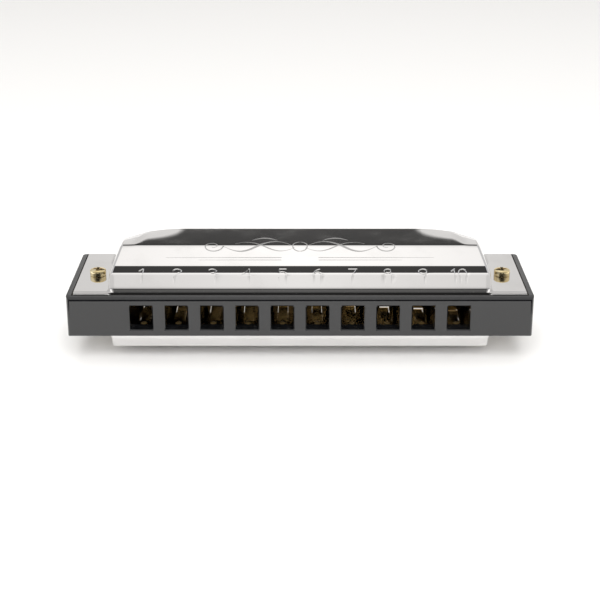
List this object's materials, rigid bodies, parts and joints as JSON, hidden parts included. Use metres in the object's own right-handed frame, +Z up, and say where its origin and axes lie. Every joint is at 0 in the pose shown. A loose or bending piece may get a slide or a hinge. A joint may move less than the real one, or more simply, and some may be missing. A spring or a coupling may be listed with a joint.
{
  "type": "harmonica",
  "caption": "Diatonic mouth organ with a black moulded comb, recessed brass reed plates with sprung reeds, and two polished steel covers open at the back.",
  "frame": {"origin": "under the middle of the comb, level with the lowest point of the lower cover", "axes": "+X along the row of holes towards the highest note, +Y from the mouthpiece face to the open back of the covers, +Z up from the lower cover to the upper cover"},
  "size_m": [0.099, 0.0274, 0.0225],
  "materials": {
    "comb": "satin black moulded plastic",
    "cover_steel": "mirror-polished stainless steel",
    "plate_brass": "rolled brass sheet",
    "reed_brass": "ground and scratched reed brass",
    "rivet_brass": "headed brass rivets",
    "screw_brass": "brass-plated steel",
    "screw_zinc": "zinc-plated steel"
  },
  "bodies": {
    "instrument": {"comb": "comb", "upper_reed_plate": "plate_brass", "lower_reed_plate": "plate_brass", "upper_cover": "cover_steel", "lower_cover": "cover_steel", "left_cover_screw": "screw_brass", "right_cover_screw": "screw_brass", "left_cover_nut": "screw_brass", "right_cover_nut": "screw_brass", "upper_rivets": "rivet_brass", "lower_rivets": "rivet_brass", "upper_plate_screws": "screw_zinc", "lower_plate_screws": "screw_zinc", "blow_reed_1_foot": "reed_brass", "blow_reed_2_foot": "reed_brass", "blow_reed_3_foot": "reed_brass", "blow_reed_4_foot": "reed_brass", "blow_reed_5_foot": "reed_brass", "blow_reed_6_foot": "reed_brass", "blow_reed_7_foot": "reed_brass", "blow_reed_8_foot": "reed_brass", "blow_reed_9_foot": "reed_brass", "blow_reed_10_foot": "reed_brass", "draw_reed_1_foot": "reed_brass", "draw_reed_2_foot": "reed_brass", "draw_reed_3_foot": "reed_brass", "draw_reed_4_foot": "reed_brass", "draw_reed_5_foot": "reed_brass", "draw_reed_6_foot": "reed_brass", "draw_reed_7_foot": "reed_brass", "draw_reed_8_foot": "reed_brass", "draw_reed_9_foot": "reed_brass", "draw_reed_10_foot": "reed_brass"},
    "blow_reed_1": {"blow_reed_1_tongue": "reed_brass"},
    "blow_reed_2": {"blow_reed_2_tongue": "reed_brass"},
    "blow_reed_3": {"blow_reed_3_tongue": "reed_brass"},
    "blow_reed_4": {"blow_reed_4_tongue": "reed_brass"},
    "blow_reed_5": {"blow_reed_5_tongue": "reed_brass"},
    "blow_reed_6": {"blow_reed_6_tongue": "reed_brass"},
    "blow_reed_7": {"blow_reed_7_tongue": "reed_brass"},
    "blow_reed_8": {"blow_reed_8_tongue": "reed_brass"},
    "blow_reed_9": {"blow_reed_9_tongue": "reed_brass"},
    "blow_reed_10": {"blow_reed_10_tongue": "reed_brass"},
    "draw_reed_1": {"draw_reed_1_tongue": "reed_brass"},
    "draw_reed_2": {"draw_reed_2_tongue": "reed_brass"},
    "draw_reed_3": {"draw_reed_3_tongue": "reed_brass"},
    "draw_reed_4": {"draw_reed_4_tongue": "reed_brass"},
    "draw_reed_5": {"draw_reed_5_tongue": "reed_brass"},
    "draw_reed_6": {"draw_reed_6_tongue": "reed_brass"},
    "draw_reed_7": {"draw_reed_7_tongue": "reed_brass"},
    "draw_reed_8": {"draw_reed_8_tongue": "reed_brass"},
    "draw_reed_9": {"draw_reed_9_tongue": "reed_brass"},
    "draw_reed_10": {"draw_reed_10_tongue": "reed_brass"}
  },
  "joints": [
    {"name": "blow_reed_1_flex", "type": "hinge", "parent": "instrument", "child": "blow_reed_1", "pos_m": [-0.03375, -0.00695, 0.01481], "axis": [1, 0, 0], "range_deg": [-4, 4], "stiffness_Nm_per_rad": 0.01},
    {"name": "blow_reed_2_flex", "type": "hinge", "parent": "instrument", "child": "blow_reed_2", "pos_m": [-0.02625, -0.00695, 0.01481], "axis": [1, 0, 0], "range_deg": [-4, 4], "stiffness_Nm_per_rad": 0.01},
    {"name": "blow_reed_3_flex", "type": "hinge", "parent": "instrument", "child": "blow_reed_3", "pos_m": [-0.01875, -0.00695, 0.01481], "axis": [1, 0, 0], "range_deg": [-4, 4], "stiffness_Nm_per_rad": 0.01},
    {"name": "blow_reed_4_flex", "type": "hinge", "parent": "instrument", "child": "blow_reed_4", "pos_m": [-0.01125, -0.00695, 0.01481], "axis": [1, 0, 0], "range_deg": [-4, 4], "stiffness_Nm_per_rad": 0.01},
    {"name": "blow_reed_5_flex", "type": "hinge", "parent": "instrument", "child": "blow_reed_5", "pos_m": [-0.00375, -0.00695, 0.01481], "axis": [1, 0, 0], "range_deg": [-4, 4], "stiffness_Nm_per_rad": 0.01},
    {"name": "blow_reed_6_flex", "type": "hinge", "parent": "instrument", "child": "blow_reed_6", "pos_m": [0.00375, -0.00695, 0.01481], "axis": [1, 0, 0], "range_deg": [-4, 4], "stiffness_Nm_per_rad": 0.01},
    {"name": "blow_reed_7_flex", "type": "hinge", "parent": "instrument", "child": "blow_reed_7", "pos_m": [0.01125, -0.00695, 0.01481], "axis": [1, 0, 0], "range_deg": [-4, 4], "stiffness_Nm_per_rad": 0.01},
    {"name": "blow_reed_8_flex", "type": "hinge", "parent": "instrument", "child": "blow_reed_8", "pos_m": [0.01875, -0.00695, 0.01481], "axis": [1, 0, 0], "range_deg": [-4, 4], "stiffness_Nm_per_rad": 0.01},
    {"name": "blow_reed_9_flex", "type": "hinge", "parent": "instrument", "child": "blow_reed_9", "pos_m": [0.02625, -0.00695, 0.01481], "axis": [1, 0, 0], "range_deg": [-4, 4], "stiffness_Nm_per_rad": 0.01},
    {"name": "blow_reed_10_flex", "type": "hinge", "parent": "instrument", "child": "blow_reed_10", "pos_m": [0.03375, -0.00695, 0.01481], "axis": [1, 0, 0], "range_deg": [-4, 4], "stiffness_Nm_per_rad": 0.01},
    {"name": "draw_reed_1_flex", "type": "hinge", "parent": "instrument", "child": "draw_reed_1", "pos_m": [-0.03375, -0.00695, 0.00681], "axis": [1, 0, 0], "range_deg": [-4, 4], "stiffness_Nm_per_rad": 0.01},
    {"name": "draw_reed_2_flex", "type": "hinge", "parent": "instrument", "child": "draw_reed_2", "pos_m": [-0.02625, -0.00695, 0.00681], "axis": [1, 0, 0], "range_deg": [-4, 4], "stiffness_Nm_per_rad": 0.01},
    {"name": "draw_reed_3_flex", "type": "hinge", "parent": "instrument", "child": "draw_reed_3", "pos_m": [-0.01875, -0.00695, 0.00681], "axis": [1, 0, 0], "range_deg": [-4, 4], "stiffness_Nm_per_rad": 0.01},
    {"name": "draw_reed_4_flex", "type": "hinge", "parent": "instrument", "child": "draw_reed_4", "pos_m": [-0.01125, -0.00695, 0.00681], "axis": [1, 0, 0], "range_deg": [-4, 4], "stiffness_Nm_per_rad": 0.01},
    {"name": "draw_reed_5_flex", "type": "hinge", "parent": "instrument", "child": "draw_reed_5", "pos_m": [-0.00375, -0.00695, 0.00681], "axis": [1, 0, 0], "range_deg": [-4, 4], "stiffness_Nm_per_rad": 0.01},
    {"name": "draw_reed_6_flex", "type": "hinge", "parent": "instrument", "child": "draw_reed_6", "pos_m": [0.00375, -0.00695, 0.00681], "axis": [1, 0, 0], "range_deg": [-4, 4], "stiffness_Nm_per_rad": 0.01},
    {"name": "draw_reed_7_flex", "type": "hinge", "parent": "instrument", "child": "draw_reed_7", "pos_m": [0.01125, -0.00695, 0.00681], "axis": [1, 0, 0], "range_deg": [-4, 4], "stiffness_Nm_per_rad": 0.01},
    {"name": "draw_reed_8_flex", "type": "hinge", "parent": "instrument", "child": "draw_reed_8", "pos_m": [0.01875, -0.00695, 0.00681], "axis": [1, 0, 0], "range_deg": [-4, 4], "stiffness_Nm_per_rad": 0.01},
    {"name": "draw_reed_9_flex", "type": "hinge", "parent": "instrument", "child": "draw_reed_9", "pos_m": [0.02625, -0.00695, 0.00681], "axis": [1, 0, 0], "range_deg": [-4, 4], "stiffness_Nm_per_rad": 0.01},
    {"name": "draw_reed_10_flex", "type": "hinge", "parent": "instrument", "child": "draw_reed_10", "pos_m": [0.03375, -0.00695, 0.00681], "axis": [1, 0, 0], "range_deg": [-4, 4], "stiffness_Nm_per_rad": 0.01}
  ]
}
